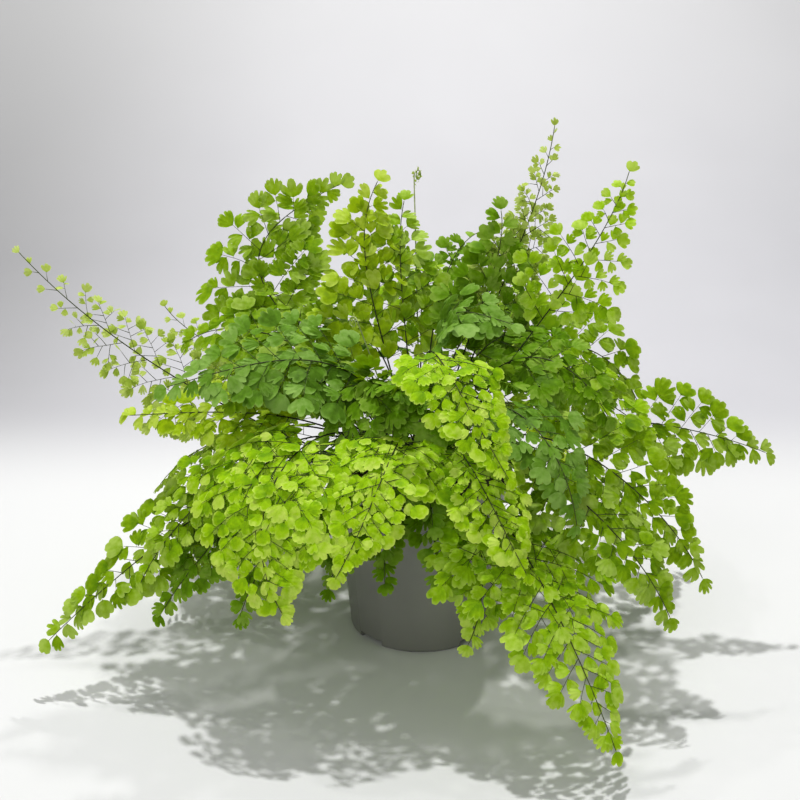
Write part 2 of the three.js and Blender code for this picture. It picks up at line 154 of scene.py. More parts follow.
HABITS = {
    "bright": Growth(0.56, 0.42, 64, 0.32, 0.16, 0.5, 0.15, 46, 0.42, 1, 0.35),
    "fresh": Growth(0.56, 0.38, 66, 0.22, 0.14, 0.25, 0.18, 42, 0.42, 1, 0.25),
    "mid": Growth(0.54, 0.37, 66, 0.22, 0.16, 0.3, 0.26, 46, 0.42, 1, 0.45),
    "olive": Growth(0.54, 0.37, 66, 0.22, 0.17, 0.3, 0.26, 46, 0.42, 1, 0.7),
    "blue": Growth(0.55, 0.37, 66, 0.26, 0.14, 0.6, 0.24, 46, 0.42, 1, 0.55),
    "deep": Growth(0.54, 0.36, 66, 0.24, 0.18, 0.3, 0.26, 45, 0.42, 1, 0.5),
    "young": Growth(1.30, 0.36, 54, 0.15, 0.36, 0.2, 0.25, 38, 0.72, 3, 0),
}

# Fronds whose leaflets stand further apart or closer than their kind's do, and how many times
LOOSE = {
    "frond_tall_right": 1.2,
    "frond_front_right_long": 1.12,
    "frond_far_right": 0.94,
    "frond_far_left": 1.1,
    "frond_tall_young": 0.8,
}

# How much smaller leaflets are at a frond's tip than at its foot, for most fronds and for some
TIP_SHRINK = 0.22
OWN_TIP_SHRINK = {
    "frond_tall_right": 0.5,
    "frond_front_right_long": 0.3,
    "frond_upper_small": 0.5,
    "frond_far_left": 0.4,
    "frond_left_young": 0.4,
    "frond_tall_young": 0.45,
}


# Mesh building


class Build:
    """Collects corners, faces, material slots and two UV maps for one mesh."""

    def __init__(self):
        self.points = []
        self.faces = []
        self.slots = []
        self.maps = []
        self.count = 0

    def add(self, points, faces, slot, leaflet=None, shade=(0.5, 0.5)):
        """leaflet is each corner's place on its leaflet, and shade is the leaflet's own random pair."""
        places = np.zeros((len(points), 4))
        if leaflet is not None:
            places[:, :2] = leaflet
        places[:, 2:] = shade
        self.points.append(points)
        self.maps.append(places)
        for group in faces:
            self.faces.append(group + self.count)
            self.slots.append(np.full(len(group), slot))
        self.count += len(points)

    def mesh(self, name):
        points = np.concatenate(self.points)
        maps = np.concatenate(self.maps)
        faces = []
        for group in self.faces:
            faces.extend(group.tolist())
        me = bpy.data.meshes.new(name)
        me.from_pydata(points.tolist(), [], faces)
        me.polygons.foreach_set("material_index", np.concatenate(self.slots))
        me.shade_smooth()
        corner = np.empty(len(me.loops), np.int32)
        me.loops.foreach_get("vertex_index", corner)
        for layer, columns in (("leaflet", slice(0, 2)), ("shade", slice(2, 4))):
            me.uv_layers.new(name=layer).data.foreach_set("uv", maps[corner, columns].ravel())
        me.update()
        return me


def add_object(name, data):
    """A new object in the scene."""
    thing = bpy.data.objects.new(name, data)
    bpy.context.scene.collection.objects.link(thing)
    return thing


def add_piece(name, me, materials):
    """A new object of a mesh with the materials."""
    for material in materials:
        me.materials.append(material)
    return add_object(name, me)


def unit(v):
    return v / np.linalg.norm(v)


def unit_steps(path):
    """The direction of a path at each of its points."""
    along = np.gradient(path, axis=0)
    return along / np.linalg.norm(along, axis=1)[:, None]


def square_to(v, axis):
    """The unit part of v that is square to axis."""
    return unit(v - np.dot(v, axis) * axis)


# Where a tube's rings start: at NEARLY_LEVEL for a tube that sets out steeper than STEEP
STEEP = 0.9
NEARLY_UP = (0.31, 0.17, 0.94)
NEARLY_LEVEL = (1.0, 0.1, 0.0)


def tube(build, path, radii, sides, slot, ages):
    """A closed tube along path, with its ends shut. ages is how young it is at each point."""
    along = unit_steps(path)
    reference = np.array(NEARLY_UP if abs(along[0][2]) < STEEP else NEARLY_LEVEL)
    angles = np.arange(sides) * (2 * math.pi / sides)
    rings = []
    for centre, axis, radius in zip(path, along, radii):
        side = square_to(reference, axis)
        reference = side
        up = np.cross(axis, side)
        rings.append(centre + radius * (np.outer(np.cos(angles), side) + np.outer(np.sin(angles), up)))
    points = np.concatenate(rings)
    k = np.arange(sides)
    starts = np.arange(len(path) - 1)[:, None] * sides
    a, b = starts + k, starts + (k + 1) % sides
    walls = np.stack([a, b, b + sides, a + sides], -1).reshape(-1, 4)
    last = (len(path) - 1) * sides
    ends = np.array([k[::-1], last + k])
    shade = np.stack([np.full(len(points), 0.5), np.repeat(ages, sides)], -1)
    build.add(points, [walls, ends], slot, shade=shade)


# Leaflets

# A leaflet is a fan of unit length. Its corners lie on rings at these shares of its reach, and on
# each ring at these steps along every lobe. Lobes differ in width by these times.
LEAFLET_RINGS = (0.45, 0.8, 1.0)
LOBE_STEPS = (0.0, 0.12, 0.3, 0.5, 0.7, 0.88)
LOBE_WIDTHS = (0.7, 1.3)
# How far its rim stands back: at its two outer corners, between lobes as times its habit's notch,
# and at the small tooth mark in the middle of a lobe
CORNER_DIP = 0.22
NOTCH_TIMES = (0.6, 1.35)
TOOTH = 0.035
# Its reach, what its middle line adds, the reach of its inner rings, and how much longer one side
# may be
REACH = 0.86
MIDDLE_REACH = 0.14
INNER_REACH = 0.9
LOPSIDED = 0.16
# The wave in each lobe, how many times its angle the fan opens at its foot, and how much less at
# its rim
WAVE = 0.018
FOOT_OPEN = 1.3
RIM_CLOSE = 0.34

# Shapes of each kind on a frond, and the range of their lobes, whose end is left out
SHAPES = 6
SIDE_LOBES = (3, 5)
END_LOBES = (3, 6)

# How far a leaflet starts off its branchlet, towards its face, or off the stalk that it covers
LEAFLET_LIFT = (-0.5 * MM, 0.4 * MM)
COVER_LIFT = 0.6 * MM
# Shares of its size: the gap at its foot, the drop of its sides and the drop of its rim
HAIR_GAP = (0.02, 0.11)
CUP = (0.05, 0.3)
CURL = (-0.05, 0.35)


def leaflet_shape(rng, lobes, spread, notch):
    """A fan of unit length whose stalk is at the origin and which opens towards +Y.

    Returns its corners, faces, and each corner's place across and along the fan.
    """
    edges = np.concatenate([[0], np.cumsum(rng.uniform(*LOBE_WIDTHS, lobes))])
    edges /= edges[-1]
    lobe = np.append(np.repeat(np.arange(lobes), len(LOBE_STEPS)), lobes - 1)
    within = np.append(np.tile(LOBE_STEPS, lobes), 1.0)
    share = edges[lobe] + within * (edges[lobe + 1] - edges[lobe])
    depths = notch * rng.uniform(*NOTCH_TIMES, lobes + 1) ** 2
    depths[0] = depths[-1] = CORNER_DIP
    near = np.where(within < 0.5, depths[lobe], depths[lobe + 1])
    dip = near * (2 * within - 1) ** 2 + TOOTH * (np.abs(within - 0.5) < 0.1)
    angle = (share - 0.5) * 2 * spread
    lean = 1 + LOPSIDED * rng.uniform(-1, 1) * (share - 0.5)
    reach = (REACH + MIDDLE_REACH * np.cos((share - 0.5) * math.pi * 1.2)) * lean - dip
    points = [np.zeros((1, 3))]
    places = [np.array([[0.5, 0.0]])]
    for ring in LEAFLET_RINGS:
        edge = ring * (ring * reach + (1 - ring) * INNER_REACH)
        wave = WAVE * np.cos(within * 2 * math.pi) * ring**2
        open_angle = angle * (FOOT_OPEN - RIM_CLOSE * ring)
        points.append(np.stack([edge * np.sin(open_angle), edge * np.cos(open_angle), wave], -1))
        places.append(np.stack([share, np.full(len(share), ring)], -1))
    steps = len(share) - 1
    k = np.arange(steps)
    fan = np.stack([np.zeros(steps, int), 2 + k, 1 + k], -1)
    bands = []
    for ring in range(len(LEAFLET_RINGS) - 1):
        inner = 1 + ring * (steps + 1) + k
        outer = inner + steps + 1
        bands.append(np.stack([inner, inner + 1, outer + 1, outer], -1))
    return np.concatenate(points), [fan, np.concatenate(bands)], np.concatenate(places)


def leaflet_shapes(habit, seed):
    """Fans for the sides of a branchlet and broader ones for its end."""
    rng = np.random.default_rng(seed)
    shapes = {"side": [], "end": []}
    for _ in range(SHAPES):
        side = math.radians(habit.spread + rng.uniform(-6, 6))
        end = side + math.radians(rng.uniform(8, 18))
        for kind, lobes, spread in (("side", SIDE_LOBES, side), ("end", END_LOBES, end)):
            count = int(rng.integers(*lobes))
            shapes[kind].append(leaflet_shape(rng, count, spread, habit.notch))
    return shapes


def add_leaflet(build, rng, shape, foot, direction, face, size, shade):
    """One leaflet on a hair-thin stalk that leaves foot."""
    points, faces, places = shape
    gap = size * rng.uniform(*HAIR_GAP)
    start = foot + gap * direction + rng.uniform(*LEAFLET_LIFT) * face
    side = np.cross(direction, face)
    cup = rng.uniform(*CUP)
    curl = rng.uniform(*CURL)
    local = points * size
    lift = local[:, 2] - cup * local[:, 0] ** 2 / size - curl * local[:, 1] ** 2 / size
    world = start + np.outer(local[:, 0], side) + np.outer(local[:, 1], direction) + np.outer(lift, face)
    build.add(world, faces, 0, places, shade)
    hair_path = np.array([foot, start + 0.12 * size * direction])
    tube(build, hair_path, (HAIR_RADIUS, 0.8 * HAIR_RADIUS), 3, 1, (shade[1], shade[1]))


# Along a branchlet: how much it sags and wanders at each step, the angle of what leaves it, how
# much less that is towards its end, how far it strays, and the ranges of its leaflets' sizes
SAG = 0.03
WANDER = 0.04
LEAFLET_ANGLE = 70
ANGLE_FALL = 18
ANGLE_STRAY = 8
SIDE_SIZES = (0.86, 1.12)
END_SIZES = (0.95, 1.15)


class Grower:
    """Grows the branchlets and leaflets of one frond."""

    def __init__(self, build, habit, seed):
        self.build = build
        self.habit = habit
        self.rng = np.random.default_rng(seed)
        self.shapes = leaflet_shapes(habit, seed)

    def leaflet(self, kind, foot, direction, face, size, age):
        """A leaflet that hangs a little, and turns its face a little up and away from the plant."""
        rng, habit = self.rng, self.habit
        drop = habit.hang * rng.uniform(0.3, 1.2)
        direction = unit(direction + drop * DOWN + 0.6 * habit.stray * rng.standard_normal(3))
        face = face - 0.3 * DOWN + habit.tilt * unit(foot * (1, 1, 0))
        face = square_to(face + habit.stray * rng.standard_normal(3), direction)
        shape = self.shapes[kind][rng.integers(SHAPES)]
        add_leaflet(self.build, rng, shape, foot, direction, face, size, (rng.random(), age))

    def branchlet(self, start, direction, face, length, size, age):
        """Leaflets or shorter branchlets to its left and right in turn, and a leaflet at its end."""
        rng, habit = self.rng, self.habit
        count = max(int(length / (habit.pitch * size)), 1)
        step = length / count
        path = [start]
        heading = direction
        for k in range(1, count):
            sag = SAG * habit.hang * k * DOWN
            heading = unit(heading + sag + WANDER * rng.standard_normal(3))
            path.append(path[-1] + step * heading)
            across = np.cross(face, heading) * (1 if k % 2 else -1)
            if k < habit.foot:
                continue
            stray = rng.uniform(-ANGLE_STRAY, ANGLE_STRAY)
            aside = math.radians(LEAFLET_ANGLE - ANGLE_FALL * k / count + stray)
            out = math.cos(aside) * heading + math.sin(aside) * across
            own_size = size * (1.02 - 0.15 * k / count) * rng.uniform(*SIDE_SIZES)
            reach = habit.fork * (length - k * step)
            if reach > size:
                self.branchlet(path[-1], unit(out), face, reach, own_size, age)
            else:
                self.leaflet("side", path[-1], out, face, own_size, age)
        path.append(path[-1] + 0.6 * step * heading)
        self.leaflet("end", path[-1], heading, face, size * rng.uniform(*END_SIZES), age)
        radii = np.linspace(BRANCHLET_RADIUS, HAIR_RADIUS, len(path))
        tube(self.build, np.array(path), radii, 4, 1, np.full(len(path), age))


# Fronds

# The first handle of a stalk's curve lies LEAN of the way out to the second one
LEAN = 0.25
CURVE_STEPS = 60

# Side branches: the first one's length as a share of the longest's, where along the blade that
# stands, and the range that chance gives
FIRST_PINNA = 0.75
LONGEST_AT = 0.15
PINNA_LENGTHS = (0.85, 1.1)
# How much less their angle is at the tip, how far it strays, and how much closer they get
PINNA_FALL = 20
PINNA_STRAY = 6
GAP_FALL = 0.4

# The size of the leaflet at a frond's tip and of one that covers its stalk
END_SHARE = 0.7
COVER_SHARE = 0.9


class Stalk:
    """The curve of a frond's stalk, as points evenly apart."""

    def __init__(self, plant, seat_z):
        over, tip = plant["over"], plant["tip"]
        seat = unit(over * (1, 1, 0)) * plant["ring"]
        seat[2] = seat_z
        lift = seat + LEAN * (over - seat)
        lift[2] = plant["rise"]
        fine = np.linspace(0, 1, 4 * CURVE_STEPS)[:, None]
        curve = (1 - fine) ** 3 * seat + 3 * (1 - fine) ** 2 * fine * lift
        curve += 3 * (1 - fine) * fine**2 * over + fine**3 * tip
        steps = np.linalg.norm(np.diff(curve, axis=0), axis=1)
        lengths = np.concatenate([[0], np.cumsum(steps)])
        even = np.linspace(0, lengths[-1], CURVE_STEPS + 1)
        self.path = np.stack([np.interp(even, lengths, curve[:, k]) for k in range(3)], -1)
        self.along = unit_steps(self.path)
        self.length = lengths[-1]
        self.bare = np.interp(plant["bare"], fine[:, 0], lengths)
        outward = (self.path[-1] - self.path[0]) * (1, 1, 0)
        self.level = np.cross(unit(outward), -DOWN)
        self.turn = plant["turn"]

    def at(self, distance):
        """The place there, and the ways along the stalk, to the blade's side and off its face."""
        place = distance / self.length * CURVE_STEPS
        k = min(int(place), CURVE_STEPS - 1)
        share = place - k
        centre = self.path[k] * (1 - share) + self.path[k + 1] * share
        along = unit(self.along[k] * (1 - share) + self.along[k + 1] * share)
        side = square_to(self.level, along)
        face = np.cross(side, along)
        side = side * math.cos(self.turn) + face * math.sin(self.turn)
        return centre, along, side, np.cross(side, along)

    def add_tube(self, build, distance):
        """The stalk itself, as far as the distance."""
        path = self.path[: int(distance / self.length * CURVE_STEPS) + 1]
        path = np.concatenate([path, [self.at(distance)[0]]])
        shares = np.linspace(0, 1, len(path))
        radii = STALK_RADIUS + (STALK_TIP_RADIUS - STALK_RADIUS) * shares**0.8
        tube(build, path, radii, 6, 1, shares**2)


def pinna_share(s):
    """A side branch's length at the share s of the blade, as a share of the longest."""
    if s < LONGEST_AT:
        return FIRST_PINNA + (1 - FIRST_PINNA) * s / LONGEST_AT
    return ((1 - s) / (1 - LONGEST_AT)) ** 0.85


def add_blade(stalk, grower, plant, end):
    """Side branches to the left and right in turn, shorter and closer towards the tip."""
    rng, habit = grower.rng, grower.habit
    size = plant["leaflet"]
    loose = LOOSE.get(plant["name"], 1)
    shrink = OWN_TIP_SHRINK.get(plant["name"], TIP_SHRINK)
    distance = stalk.bare
    left = 1
    while distance < end - 0.3 * size:
        s = (distance - stalk.bare) / (end - stalk.bare)
        centre, along, side, face = stalk.at(distance)
        reach = plant["half"] * pinna_share(s) * rng.uniform(*PINNA_LENGTHS)
        stray = rng.uniform(-PINNA_STRAY, PINNA_STRAY)
        aside = math.radians(habit.angle - PINNA_FALL * s + stray)
        out = math.cos(aside) * along + math.sin(aside) * left * side
        own_size = size * (1 - shrink * s)
        if reach < 0.9 * own_size:
            grower.leaflet("side", centre, out, face, own_size, s)
        else:
            if rng.random() < habit.cover:
                over_stalk = centre + COVER_LIFT * face
                ahead = unit(along + 0.3 * left * side)
                grower.leaflet("side", over_stalk, ahead, face, COVER_SHARE * own_size, s)
            grower.branchlet(centre, unit(out), face, reach - 0.5 * own_size, own_size, s)
        left = -left
        distance += size * habit.gap * loose * (1 - GAP_FALL * s)
    centre, along, side, face = stalk.at(end)
    grower.leaflet("end", centre, along, face, END_SHARE * size, 1.0)


def leafy_frond(plant, seat_z, materials, seed):
    """A wiry stalk, its branchlets and its leaflets as one piece."""
    habit = HABITS[plant["tone"]]
    habit = habit._replace(pitch=habit.pitch * LOOSE.get(plant["name"], 1))
    stalk = Stalk(plant, seat_z)
    end = stalk.length - END_SHARE * plant["leaflet"]
    build = Build()
    add_blade(stalk, Grower(build, habit, seed), plant, end)
    stalk.add_tube(build, end)
    piece = add_piece("leafy_" + plant["name"], build.mesh(plant["name"]), materials)
    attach(piece, "root")
    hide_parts(plant["name"])


# Pot

# As in part.mjs. A pair is a radius and a height on the pot's outside.
POT_HEIGHT = 0.105
FOOT_RADIUS = 0.045
FOOT_EDGE = 0.0025
WALL_TOP = (0.053, 0.092)
COLLAR_BOTTOM = (0.0566, 0.093)
RIM_RADIUS = 0.058
WALL = 0.0016
FLOOR_TOP = 0.0065

# The cut corners under the collar: the wall's, outwards and up, and the collar's, inwards and down
UNDER_COLLAR = (0.0004, 0.0003)
COLLAR_EDGE = (0.0006, 0.0001)
POT_SIDES = 160
POT_BEVEL = 0.0003

# Tall channels and shallow slots run out under the foot in turn, with a hole over each channel
DRAINS = 4
CHANNEL = {"width": 0.019, "height": 0.0045}
SLOT = {"width": 0.011, "height": 0.0012}
CHANNEL_INNER_RADIUS = 0.024
DRAIN_RADIUS = 0.004
DRAIN_FROM_AXIS = 0.033
DRAIN_SIDES = 32


def arc(centre, radius, start, end, steps):
    """Profile points on an arc about centre, from the angle start to end."""
    angles = np.radians(np.linspace(start, end, steps + 1))
    return [(centre[0] + radius * math.cos(a), centre[1] + radius * math.sin(a)) for a in angles]


def pot_profile():
    """Radius and height, from under the middle of the foot, up the outside and down the inside."""
    lip = 0.5 * WALL
    profile = [(0.0, 0.0)]
    profile += arc((FOOT_RADIUS - FOOT_EDGE, FOOT_EDGE), FOOT_EDGE, -90, 0, 6)
    profile += [WALL_TOP, (WALL_TOP[0] + UNDER_COLLAR[0], WALL_TOP[1] + UNDER_COLLAR[1])]
    profile += [(COLLAR_BOTTOM[0] - COLLAR_EDGE[0], COLLAR_BOTTOM[1] - COLLAR_EDGE[1]), COLLAR_BOTTOM]
    profile += arc((RIM_RADIUS - lip, POT_HEIGHT - lip), lip, 0, 180, 8)
    profile += [(COLLAR_BOTTOM[0] - WALL, COLLAR_BOTTOM[1] + WALL), (WALL_TOP[0] - WALL, WALL_TOP[1])]
    profile += arc((FOOT_RADIUS - WALL - FOOT_EDGE, FLOOR_TOP + FOOT_EDGE), FOOT_EDGE, 0, -90, 6)
    profile += [(0.0, FLOOR_TOP)]
    return profile


def lathe(bm, profile, sides):
    """A closed solid of revolution whose profile starts and ends on its axis."""
    rings = []
    for radius, z in profile:
        if radius == 0:
            rings.append([bm.verts.new((0, 0, z))] * sides)
            continue
        angles = [2 * math.pi * k / sides for k in range(sides)]
        rings.append([bm.verts.new((radius * math.cos(a), radius * math.sin(a), z)) for a in angles])
    for low, high in zip(rings, rings[1:]):
        for k in range(sides):
            corners = [low[k], low[(k + 1) % sides], high[(k + 1) % sides], high[k]]
            bm.faces.new(list(dict.fromkeys(corners)))


def turned(angle, radius, z=0.0):
    """The transform to a place off the axis."""
    return Matrix.Rotation(angle, 4, "Z") @ Matrix.Translation((radius, 0, z))


def foot_cut(bm, cut, angle):
    """A box across the foot's edge, from below the foot up to the cut's height."""
    length = FOOT_RADIUS - CHANNEL_INNER_RADIUS + WALL
    box = bmesh.ops.create_cube(bm, size=1)["verts"]
    place = turned(angle, CHANNEL_INNER_RADIUS + length / 2)
    size = Matrix.Diagonal((length, cut["width"], 2 * cut["height"], 1))
    bmesh.ops.transform(bm, matrix=place @ size, verts=box)


def drain_hole(bm, angle):
    """A round plug from above the pot's floor down into the channel under it."""
    sizes = {"radius1": DRAIN_RADIUS, "radius2": DRAIN_RADIUS, "depth": 0.8 * FLOOR_TOP}
    hole = bmesh.ops.create_cone(bm, segments=DRAIN_SIDES, cap_ends=True, **sizes)["verts"]
    bmesh.ops.transform(bm, matrix=turned(angle, DRAIN_FROM_AXIS, FLOOR_TOP), verts=hole)


def mesh_of(name, bm):
    """A mesh from the bmesh, which is freed."""
    bmesh.ops.recalc_face_normals(bm, faces=bm.faces)
    me = bpy.data.meshes.new(name)
    bm.to_mesh(me)
    bm.free()
    return me


def cut_away(piece, cutter):
    """Cuts the cutter's mesh out of the piece, rounds its sharp edges and removes the cutter."""
    boolean = piece.modifiers.new("cut", "BOOLEAN")
    boolean.operation = "DIFFERENCE"
    boolean.object = cutter
    boolean.use_self = True
    bevel = piece.modifiers.new("bevel", "BEVEL")
    bevel.width = POT_BEVEL
    bevel.segments = 2
    bevel.angle_limit = math.radians(50)
    view = bpy.context.evaluated_depsgraph_get()
    done = bpy.data.meshes.new_from_object(piece.evaluated_get(view))
    piece.modifiers.clear()
    piece.data = done
    bpy.data.objects.remove(cutter)


def nursery_pot(material):
    """A moulded pot with a collar, cut by the channels, slots and holes of its foot."""
    bm = bmesh.new()
    lathe(bm, pot_profile(), POT_SIDES)
    piece = add_piece("moulded_pot", mesh_of("moulded_pot", bm), [material])
    bm = bmesh.new()
    for k in range(DRAINS):
        slot_angle = 2 * math.pi * k / DRAINS
        channel_angle = slot_angle + math.pi / DRAINS
        foot_cut(bm, SLOT, slot_angle)
        foot_cut(bm, CHANNEL, channel_angle)
        drain_hole(bm, channel_angle)
    cut_away(piece, add_piece("cutter", mesh_of("cutter", bm), []))
    piece.data.shade_smooth()
    piece.data.set_sharp_from_angle(angle=math.radians(30))
    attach(piece, "root")
    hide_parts("nursery_pot")


# Soil and crown

# The soil is a plug with rings up its side and a rougher top, with room for crumbs above it
SOIL_TOP = 0.096
CRUMB_ROOM = 0.001
SOIL_GAP = 0.0003
SOIL_SIDES = 120
SIDE_ROWS = 12
SOIL_RINGS = 26
SIDE_ROUGH = 0.0002
TOP_ROUGH = 0.0009
CRUMBS = 420
CRUMB_SIZES = (0.0007, 0.0023)
PERLITE_EVERY = 9

# The crown is a mat of rhizomes in layers. A rhizome has a point for each of its girths.
CROWN_RADIUS = 0.034
RHIZOMES = 46
RHIZOME_RADIUS = 0.0019
RHIZOME_STEP = 0.002
RHIZOME_GIRTHS = np.array([0.4, 0.85, 1, 0.95, 1, 0.9, 0.8, 0.4])
RHIZOME_LAYERS = 3
LAYER_LIFT = 0.0006
GOLDEN_ANGLE = 137.5
SCALES = 900
SCALE_LENGTHS = (0.0012, 0.003)


def crumb(build, rng, centre, size, slot):
    """A small rough lump: an icosahedron pulled out of shape and turned at random."""
    bm = bmesh.new()
    bmesh.ops.create_icosphere(bm, subdivisions=1, radius=1)
    points = np.array([v.co for v in bm.verts])
    faces = np.array([[v.index for v in face.verts] for face in bm.faces])
    bm.free()
    points *= rng.uniform(0.75, 1.2, (len(points), 1))
    points *= rng.uniform((0.7, 0.45, 0.3), (1.2, 0.9, 0.7))
    turn = np.array(Quaternion(unit(rng.standard_normal(3)), rng.uniform(0, math.pi)).to_matrix())
    build.add(centre + size * points @ turn.T, [faces], slot)


def soil_outline(z):
    """The radius of the pot's inside at the height z, less the soil's gap."""
    heights = (FLOOR_TOP + FOOT_EDGE, WALL_TOP[1], COLLAR_BOTTOM[1] + WALL, POT_HEIGHT)
    radii = (FOOT_RADIUS - WALL, WALL_TOP[0] - WALL, COLLAR_BOTTOM[0] - WALL, RIM_RADIUS - WALL)
    return float(np.interp(z, heights, radii)) - SOIL_GAP


def add_plug(build, rng, top):
    """The body of the soil: plain below and rough on top."""
    side_heights = np.linspace(FLOOR_TOP + FOOT_EDGE, top - CRUMB_ROOM, SIDE_ROWS)
    rows = [(FOOT_RADIUS - WALL - FOOT_EDGE, FLOOR_TOP + SOIL_GAP)]
    rows += [(soil_outline(z), z) for z in side_heights]
    rows += [(soil_outline(top) * share, top) for share in np.linspace(0.995, 0.03, SOIL_RINGS)]
    angles = 2 * math.pi * np.arange(SOIL_SIDES) / SOIL_SIDES
    points = [np.array([[0.0, 0.0, FLOOR_TOP + SOIL_GAP]])]
    for number, (radius, z) in enumerate(rows):
        on_top = number > SIDE_ROWS
        rough = TOP_ROUGH if on_top else SIDE_ROUGH
        lift = rng.uniform(-rough, rough, SOIL_SIDES) if on_top else np.zeros(SOIL_SIDES)
        inset = rng.uniform(0, rough, SOIL_SIDES)
        ring = (radius - inset) * np.array([np.cos(angles), np.sin(angles)])
        points.append(np.stack([ring[0], ring[1], z + lift], -1))
    points.append(np.array([[0.0, 0.0, top]]))
    k = np.arange(SOIL_SIDES)
    after = (k + 1) % SOIL_SIDES
    last = 1 + (len(rows) - 1) * SOIL_SIDES
    faces = [np.stack([np.zeros(SOIL_SIDES, int), 1 + after, 1 + k], -1)]
    for row in range(len(rows) - 1):
        low = 1 + row * SOIL_SIDES
        high = low + SOIL_SIDES
        faces.append(np.stack([low + k, low + after, high + after, high + k], -1))
    end = np.full(SOIL_SIDES, last + SOIL_SIDES)
    faces.append(np.stack([last + k, last + after, end], -1))
    build.add(np.concatenate(points), faces, 0)


def potting_soil(materials):
    """A crumbly top on a plain plug, with loose crumbs of bark and a few of white perlite."""
    rng = np.random.default_rng(SEED)
    top = SOIL_TOP - CRUMB_ROOM
    build = Build()
    add_plug(build, rng, top)
    for number in range(CRUMBS):
        angle = rng.uniform(0, 2 * math.pi)
        radius = (soil_outline(top) - 0.003) * math.sqrt(rng.uniform(0.2, 1.0))
        centre = np.array([radius * math.cos(angle), radius * math.sin(angle), top])
        slot = 1 if number % PERLITE_EVERY == 0 else 0
        crumb(build, rng, centre, rng.uniform(*CRUMB_SIZES), slot)
    piece = add_piece("crumbly_soil", build.mesh("crumbly_soil"), materials)
    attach(piece, "root")
    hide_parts("potting_soil")


def scale(build, rng, foot, out):
    """One thin pointed brown scale that stands off a rhizome."""
    length = rng.uniform(*SCALE_LENGTHS)
    side = square_to(rng.standard_normal(3), out)
    tip = foot + length * unit(out + 0.5 * rng.standard_normal(3))
    middle = foot + 0.4 * length * out
    half = 0.16 * length * side
    points = np.array([foot, middle - half, tip, middle + half])
    build.add(points, [np.array([[0, 1, 2, 3]])], 0)


def rhizome_path(rng, number):
    """A short wandering path in one of the mat's layers, kept inside the crown."""
    edge = CROWN_RADIUS - 2 * RHIZOME_RADIUS
    start = CROWN_RADIUS * 0.8 * math.sqrt(number / RHIZOMES)
    around = number * math.radians(GOLDEN_ANGLE)
    heading = around + rng.uniform(-1.2, 1.2)
    x, y = start * math.cos(around), start * math.sin(around)
    path = []
    for step in range(len(RHIZOME_GIRTHS)):
        reach = math.hypot(x, y)
        if reach > edge:
            x, y = x * edge / reach, y * edge / reach
        rise = RHIZOME_RADIUS * (0.9 + 0.5 * math.sin(step * 0.7 + number))
        path.append((x, y, SOIL_TOP + SOIL_GAP + rise + LAYER_LIFT * (number % RHIZOME_LAYERS)))
        heading += rng.uniform(-0.5, 0.5)
        x += RHIZOME_STEP * math.cos(heading)
        y += RHIZOME_STEP * math.sin(heading)
    return np.array(path)


def root_crown(material):
    """Short creeping rhizomes in a mat, each covered with thin brown scales."""
    rng = np.random.default_rng(SEED + 1)
    build = Build()
    for number in range(RHIZOMES):
        path = rhizome_path(rng, number)
        radii = RHIZOME_RADIUS * rng.uniform(0.7, 1.1) * RHIZOME_GIRTHS
        tube(build, path, radii, 10, 0, np.zeros(len(path)))
        for _ in range(SCALES // RHIZOMES):
            k = rng.integers(len(path))
            out = unit(rng.standard_normal(3) * (1, 1, 0.5) - 0.7 * DOWN)
            scale(build, rng, path[k] + 0.8 * radii[k] * out, out)
    piece = add_piece("rhizome_mat", build.mesh("rhizome_mat"), [material])
    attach(piece, "root")
    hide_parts("root_crown")


# Croziers

# Each one's seat on the crown and the top of its roll, in millimetres, and the way that it rolls,
# in radians
CROZIERS = [
    {"name": "crozier_back", "seat": (0, 10), "top": (-4, 70, 283), "lean": 0.9},
    {"name": "crozier_left", "seat": (-8, -2), "top": (-38, -8, 205), "lean": 2.4},
    {"name": "crozier_right", "seat": (9, 2), "top": (40, 20, 190), "lean": -0.6},
]
COIL_RADIUS = 0.004
COIL_TURNS = 1.4
COIL_CLOSING = 0.68
STEM_STEPS = 40
COIL_STEPS = 36
CROZIER_RADIUS = 0.00045
BUD_SIZE = 0.0026
BUD_SIZES = (0.6, 1.1)
BUD_AGE = 0.3


def coil_path(neck, across):
    """The roll from its neck, which closes in towards its middle."""
    path = []
    for share in np.linspace(0.03, 1, COIL_STEPS):
        angle = 2 * math.pi * COIL_TURNS * share
        radius = COIL_RADIUS * (1 - COIL_CLOSING * share)
        out = across * (COIL_RADIUS - radius * math.cos(angle))
        path.append(neck + out - radius * math.sin(angle) * DOWN)
    return path


